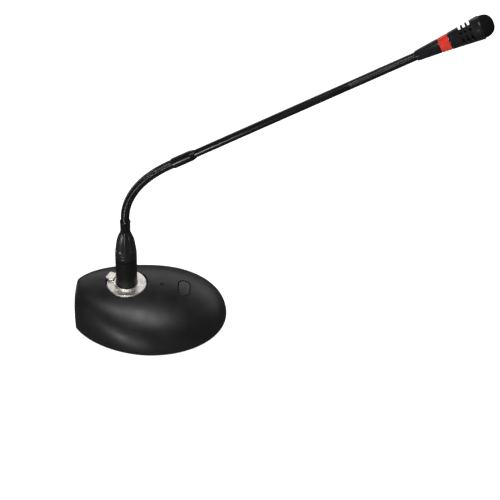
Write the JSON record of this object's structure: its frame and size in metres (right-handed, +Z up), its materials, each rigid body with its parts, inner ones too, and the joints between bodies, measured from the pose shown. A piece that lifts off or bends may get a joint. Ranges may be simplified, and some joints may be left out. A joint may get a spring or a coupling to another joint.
{
  "type": "gooseneck podium microphone",
  "caption": "Domed table base with a panel socket and a plug-in gooseneck that carries a slim microphone head with a red light ring.",
  "frame": {"origin": "on the table, straight below the middle of the socket's flange", "axes": "+Z up, +X towards the speaker, the way the neck leans"},
  "size_m": [0.3296, 0.1046, 0.2944],
  "materials": {
    "shell_plastic": "fine satin, near black",
    "plate_plastic": "fine matt",
    "grip_rubber": "matt",
    "screw_steel": "zinc plated",
    "black_screw": "blackened",
    "ballast_iron": "raw",
    "cell_jacket": "plain sleeve",
    "spring_steel": "nickel plated",
    "board_green": "solder mask",
    "component_black": "moulded",
    "lamp_lens": "tinted lens",
    "button_plastic": "satin, near black",
    "nickel": "satin nickel",
    "insert_plastic": "moulded",
    "contact_gold": "gold plated",
    "wire_cover": "soft cover",
    "plug_metal": "black satin coat",
    "boot_plastic": "soft matt",
    "neck_metal": "black coated steel",
    "ring_plastic": "light-diffusing red",
    "head_plastic": "satin, near black",
    "lamp_chip": "moulded",
    "capsule_metal": "plain",
    "grille_metal": "black woven steel",
    "foam": "open-cell foam"
  },
  "bodies": {
    "base": {"base_shell": "shell_plastic", "base_plate": "plate_plastic", "grip_ring": "grip_rubber", "base_screws": "black_screw", "ballast_weight": "ballast_iron", "ballast_screws": "screw_steel", "battery_cells": "cell_jacket", "battery_contacts": "spring_steel", "circuit_board": "board_green", "board_screws": "screw_steel", "board_components": "component_black", "power_switch": "component_black", "indicator_lamp": "lamp_lens", "socket_housing": "nickel", "socket_insert": "insert_plastic", "socket_contacts": "contact_gold", "socket_screws": "nickel", "latch_pin": "screw_steel", "latch_spring": "spring_steel", "output_housing": "nickel", "output_insert": "insert_plastic", "output_pins": "contact_gold", "output_screws": "screw_steel", "socket_wires": "wire_cover", "output_wires": "wire_cover"},
    "battery_door": {"battery_door": "plate_plastic"},
    "button": {"power_button": "button_plastic", "switch_plunger": "component_black"},
    "latch": {"socket_latch": "nickel"},
    "plug": {"plug_shell": "plug_metal", "plug_insert": "insert_plastic", "plug_pins": "contact_gold", "plug_boot": "boot_plastic", "neck_ferrule": "neck_metal"},
    "lower_link_1": {"lower_neck_link_1": "neck_metal"},
    "lower_link_2": {"lower_neck_link_2": "neck_metal"},
    "lower_link_3": {"lower_neck_link_3": "neck_metal"},
    "lower_link_4": {"lower_neck_link_4": "neck_metal"},
    "lower_link_5": {"lower_neck_link_5": "neck_metal"},
    "lower_link_6": {"lower_neck_link_6": "neck_metal"},
    "lower_link_7": {"lower_neck_link_7": "neck_metal"},
    "stem": {"neck_coupling": "neck_metal", "stem_tube": "neck_metal"},
    "upper_link_1": {"upper_neck_link_1": "neck_metal"},
    "upper_link_2": {"upper_neck_link_2": "neck_metal"},
    "upper_link_3": {"upper_neck_link_3": "neck_metal"},
    "upper_link_4": {"upper_neck_link_4": "neck_metal"},
    "upper_link_5": {"upper_neck_link_5": "neck_metal"},
    "head": {"head_cone": "head_plastic", "light_ring": "ring_plastic", "head_core_tube": "capsule_metal", "ring_lamp_board": "board_green", "ring_lamps": "lamp_chip", "head_body": "head_plastic", "capsule_holder": "insert_plastic", "microphone_capsule": "capsule_metal", "grille": "grille_metal", "grille_foam": "foam"}
  },
  "joints": [
    {"name": "battery_door_slide", "type": "slide", "parent": "base", "child": "battery_door", "axis": [1, 0, 0], "range_m": [0, 0.004]},
    {"name": "button_press", "type": "slide", "parent": "base", "child": "button", "axis": [0, 0, -1], "range_m": [0, 0.001], "stiffness_N_per_m": 1200, "springref_m": -0.0004},
    {"name": "latch_press", "type": "hinge", "parent": "base", "child": "latch", "pos_m": [-0.01493, 0.00625, 0.03498], "axis": [0.39, 0.9205, -0.0232], "range_deg": [0, 4], "stiffness_Nm_per_rad": 0.12, "springref_deg": -4.58},
    {"name": "plug_release", "type": "slide", "parent": "base", "child": "plug", "axis": [0.0593, 0, 0.9982], "range_m": [0, 0.022]},
    {"name": "lower_pitch_1", "type": "hinge", "parent": "plug", "child": "lower_link_1", "pos_m": [0.00426, 0, 0.10977], "axis": [0, 1, 0], "range_deg": [-10, 16.25]},
    {"name": "lower_side_1", "type": "hinge", "parent": "lower_link_1", "child": "lower_link_2", "pos_m": [0.00594, 0, 0.12024], "axis": [-0.9674, 0, 0.2531], "range_deg": [-11.25, 11.25]},
    {"name": "lower_pitch_2", "type": "hinge", "parent": "lower_link_2", "child": "lower_link_3", "pos_m": [0.00956, 0, 0.1302], "axis": [0, 1, 0], "range_deg": [-10, 16.25]},
    {"name": "lower_side_2", "type": "hinge", "parent": "lower_link_3", "child": "lower_link_4", "pos_m": [0.0149, 0, 0.13936], "axis": [-0.8189, 0, 0.5739], "range_deg": [-11.25, 11.25]},
    {"name": "lower_pitch_3", "type": "hinge", "parent": "lower_link_4", "child": "lower_link_5", "pos_m": [0.02165, 0, 0.14754], "axis": [0, 1, 0], "range_deg": [-10, 16.25]},
    {"name": "lower_side_3", "type": "hinge", "parent": "lower_link_5", "child": "lower_link_6", "pos_m": [0.02952, 0, 0.15464], "axis": [-0.6192, 0, 0.7852], "range_deg": [-11.25, 11.25]},
    {"name": "lower_pitch_4", "type": "hinge", "parent": "lower_link_6", "child": "lower_link_7", "pos_m": [0.03822, 0, 0.16071], "axis": [0, 1, 0], "range_deg": [-10, 16.25]},
    {"name": "lower_side_4", "type": "hinge", "parent": "lower_link_7", "child": "stem", "pos_m": [0.04745, 0, 0.16594], "axis": [-0.4668, 0, 0.8843], "range_deg": [-11.25, 11.25]},
    {"name": "upper_pitch_1", "type": "hinge", "parent": "stem", "child": "upper_link_1", "pos_m": [0.18488, 0, 0.23849], "axis": [0, 1, 0], "range_deg": [-12, 12]},
    {"name": "upper_side_1", "type": "hinge", "parent": "upper_link_1", "child": "upper_link_2", "pos_m": [0.1939, 0, 0.24325], "axis": [-0.4668, 0, 0.8843], "range_deg": [-12, 12]},
    {"name": "upper_pitch_2", "type": "hinge", "parent": "upper_link_2", "child": "upper_link_3", "pos_m": [0.20292, 0, 0.24802], "axis": [0, 1, 0], "range_deg": [-12, 12]},
    {"name": "upper_side_2", "type": "hinge", "parent": "upper_link_3", "child": "upper_link_4", "pos_m": [0.21194, 0, 0.25278], "axis": [-0.4668, 0, 0.8843], "range_deg": [-12, 12]},
    {"name": "upper_pitch_3", "type": "hinge", "parent": "upper_link_4", "child": "upper_link_5", "pos_m": [0.22096, 0, 0.25754], "axis": [0, 1, 0], "range_deg": [-12, 12]},
    {"name": "upper_side_3", "type": "hinge", "parent": "upper_link_5", "child": "head", "pos_m": [0.22998, 0, 0.2623], "axis": [-0.4668, 0, 0.8843], "range_deg": [-12, 12]}
  ],
  "couplings": [
    {"joint": "lower_pitch_2", "follows": "lower_pitch_1", "ratio": 1},
    {"joint": "lower_side_2", "follows": "lower_side_1", "ratio": 1},
    {"joint": "lower_pitch_3", "follows": "lower_pitch_1", "ratio": 1},
    {"joint": "lower_side_3", "follows": "lower_side_1", "ratio": 1},
    {"joint": "lower_pitch_4", "follows": "lower_pitch_1", "ratio": 1},
    {"joint": "lower_side_4", "follows": "lower_side_1", "ratio": 1},
    {"joint": "upper_pitch_2", "follows": "upper_pitch_1", "ratio": 1},
    {"joint": "upper_side_2", "follows": "upper_side_1", "ratio": 1},
    {"joint": "upper_pitch_3", "follows": "upper_pitch_1", "ratio": 1},
    {"joint": "upper_side_3", "follows": "upper_side_1", "ratio": 1}
  ]
}
